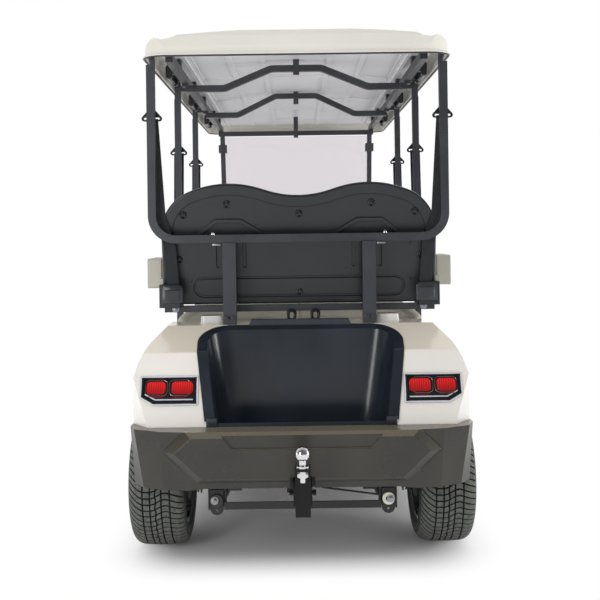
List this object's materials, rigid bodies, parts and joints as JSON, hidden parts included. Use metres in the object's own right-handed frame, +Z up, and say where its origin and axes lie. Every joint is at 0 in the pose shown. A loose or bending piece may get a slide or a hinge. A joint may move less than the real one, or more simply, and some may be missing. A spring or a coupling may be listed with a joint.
{
  "type": "six-seat golf cart",
  "caption": "Six-seat golf cart with three forward benches, flat moulded roof on posts, open rear cargo well, wrap-round bumper, tow ball and steering front wheels.",
  "frame": {"origin": "on the ground under the centre of the cart's bounding box", "axes": "+Z up, +Y the way it drives, +X to its right"},
  "size_m": [1.311, 4.1, 2.035],
  "materials": {
    "body_paint": "gloss",
    "black_plastic": "satin",
    "bumper_plastic": "textured satin",
    "well_plastic": "satin",
    "tube_paint": "satin powder coat",
    "chassis_paint": "satin black",
    "upholstery": "vinyl",
    "armrest_foam": "soft satin",
    "roof_skin": "gloss",
    "liner": "satin",
    "tyre_rubber": "matte",
    "rim_alloy": "machined",
    "chrome": "polished",
    "glass": "clear",
    "red_lens": "glossy",
    "lamp_plastic": "gloss",
    "clear_lens": "clear",
    "steel": "oiled",
    "cast": "painted",
    "wheel_grip": "soft grip",
    "floor_mat": "ribbed",
    "bush_rubber": "matte",
    "webbing": "woven",
    "battery_case": "satin"
  },
  "bodies": {
    "chassis": {"armrests": "armrest_foam", "battery_pack": "battery_case", "belt_guides": "black_plastic", "belt_straps": "webbing", "cargo_well": "well_plastic", "chassis_rails": "chassis_paint", "cross_members": "chassis_paint", "dashboard": "black_plastic", "floor": "floor_mat", "front_axle": "chassis_paint", "front_bumper": "bumper_plastic", "front_cowl": "body_paint", "grab_handles": "black_plastic", "hanger_bushes": "bush_rubber", "headlamp_housings": "lamp_plastic", "headlamp_lenses": "clear_lens", "hitch_ball": "chrome", "hitch_mount": "chassis_paint", "leaf_springs": "chassis_paint", "mid_pillars": "tube_paint", "pedals": "steel", "rear_axle": "cast", "rear_body": "body_paint", "rear_bumper": "bumper_plastic", "rear_hoop": "tube_paint", "rear_ties": "chassis_paint", "rocker_panels": "black_plastic", "roof": "roof_skin", "roof_frame": "tube_paint", "roof_liner": "liner", "seat_backs": "upholstery", "seat_bases": "body_paint", "seat_belts": "black_plastic", "seat_cushions": "upholstery", "seat_frames": "tube_paint", "seat_shells": "black_plastic", "spring_hangers": "chassis_paint", "steering_column": "black_plastic", "tail_lamp_housings": "lamp_plastic", "tail_lamp_lenses": "red_lens", "wheel_liners": "black_plastic", "windscreen": "glass", "windscreen_frame": "tube_paint"},
    "knuckle_left": {"knuckle_left": "cast"},
    "knuckle_right": {"knuckle_right": "cast"},
    "tie_rod": {"tie_rod": "steel"},
    "steering_wheel": {"steering_wheel": "wheel_grip"},
    "wheel_rear_left": {"rim_rear_left": "rim_alloy", "tyre_rear_left": "tyre_rubber"},
    "wheel_rear_right": {"rim_rear_right": "rim_alloy", "tyre_rear_right": "tyre_rubber"},
    "wheel_front_left": {"rim_front_left": "rim_alloy", "tyre_front_left": "tyre_rubber"},
    "wheel_front_right": {"rim_front_right": "rim_alloy", "tyre_front_right": "tyre_rubber"}
  },
  "joints": [
    {"name": "steer_left", "type": "hinge", "parent": "chassis", "child": "knuckle_left", "pos_m": [-0.493, 1.6, 0.265], "axis": [0, 0, 1], "range_deg": [-28, 28]},
    {"name": "steer_right", "type": "hinge", "parent": "chassis", "child": "knuckle_right", "pos_m": [0.493, 1.6, 0.265], "axis": [0, 0, 1], "range_deg": [-28, 28]},
    {"name": "tie_rod_swing", "type": "hinge", "parent": "knuckle_left", "child": "tie_rod", "pos_m": [-0.493, 1.49, 0.208], "axis": [0, 0, 1], "range_deg": [-28.5, 28.5]},
    {"name": "steering_wheel_turn", "type": "hinge", "parent": "chassis", "child": "steering_wheel", "pos_m": [-0.33, 0.96, 1.13], "axis": [0, -0.766, 0.6428], "range_deg": [-337, 337]},
    {"name": "roll_rear_left", "type": "hinge", "parent": "chassis", "child": "wheel_rear_left", "pos_m": [-0.548, -1.405, 0.265], "axis": [1, 0, 0], "continuous": true},
    {"name": "roll_rear_right", "type": "hinge", "parent": "chassis", "child": "wheel_rear_right", "pos_m": [0.548, -1.405, 0.265], "axis": [1, 0, 0], "continuous": true},
    {"name": "roll_front_left", "type": "hinge", "parent": "knuckle_left", "child": "wheel_front_left", "pos_m": [-0.548, 1.6, 0.265], "axis": [1, 0, 0], "continuous": true},
    {"name": "roll_front_right", "type": "hinge", "parent": "knuckle_right", "child": "wheel_front_right", "pos_m": [0.548, 1.6, 0.265], "axis": [1, 0, 0], "continuous": true}
  ],
  "couplings": [
    {"joint": "steer_right", "follows": "steer_left", "ratio": 1},
    {"joint": "tie_rod_swing", "follows": "steer_left", "ratio": -1},
    {"joint": "steering_wheel_turn", "follows": "steer_left", "ratio": 12}
  ]
}
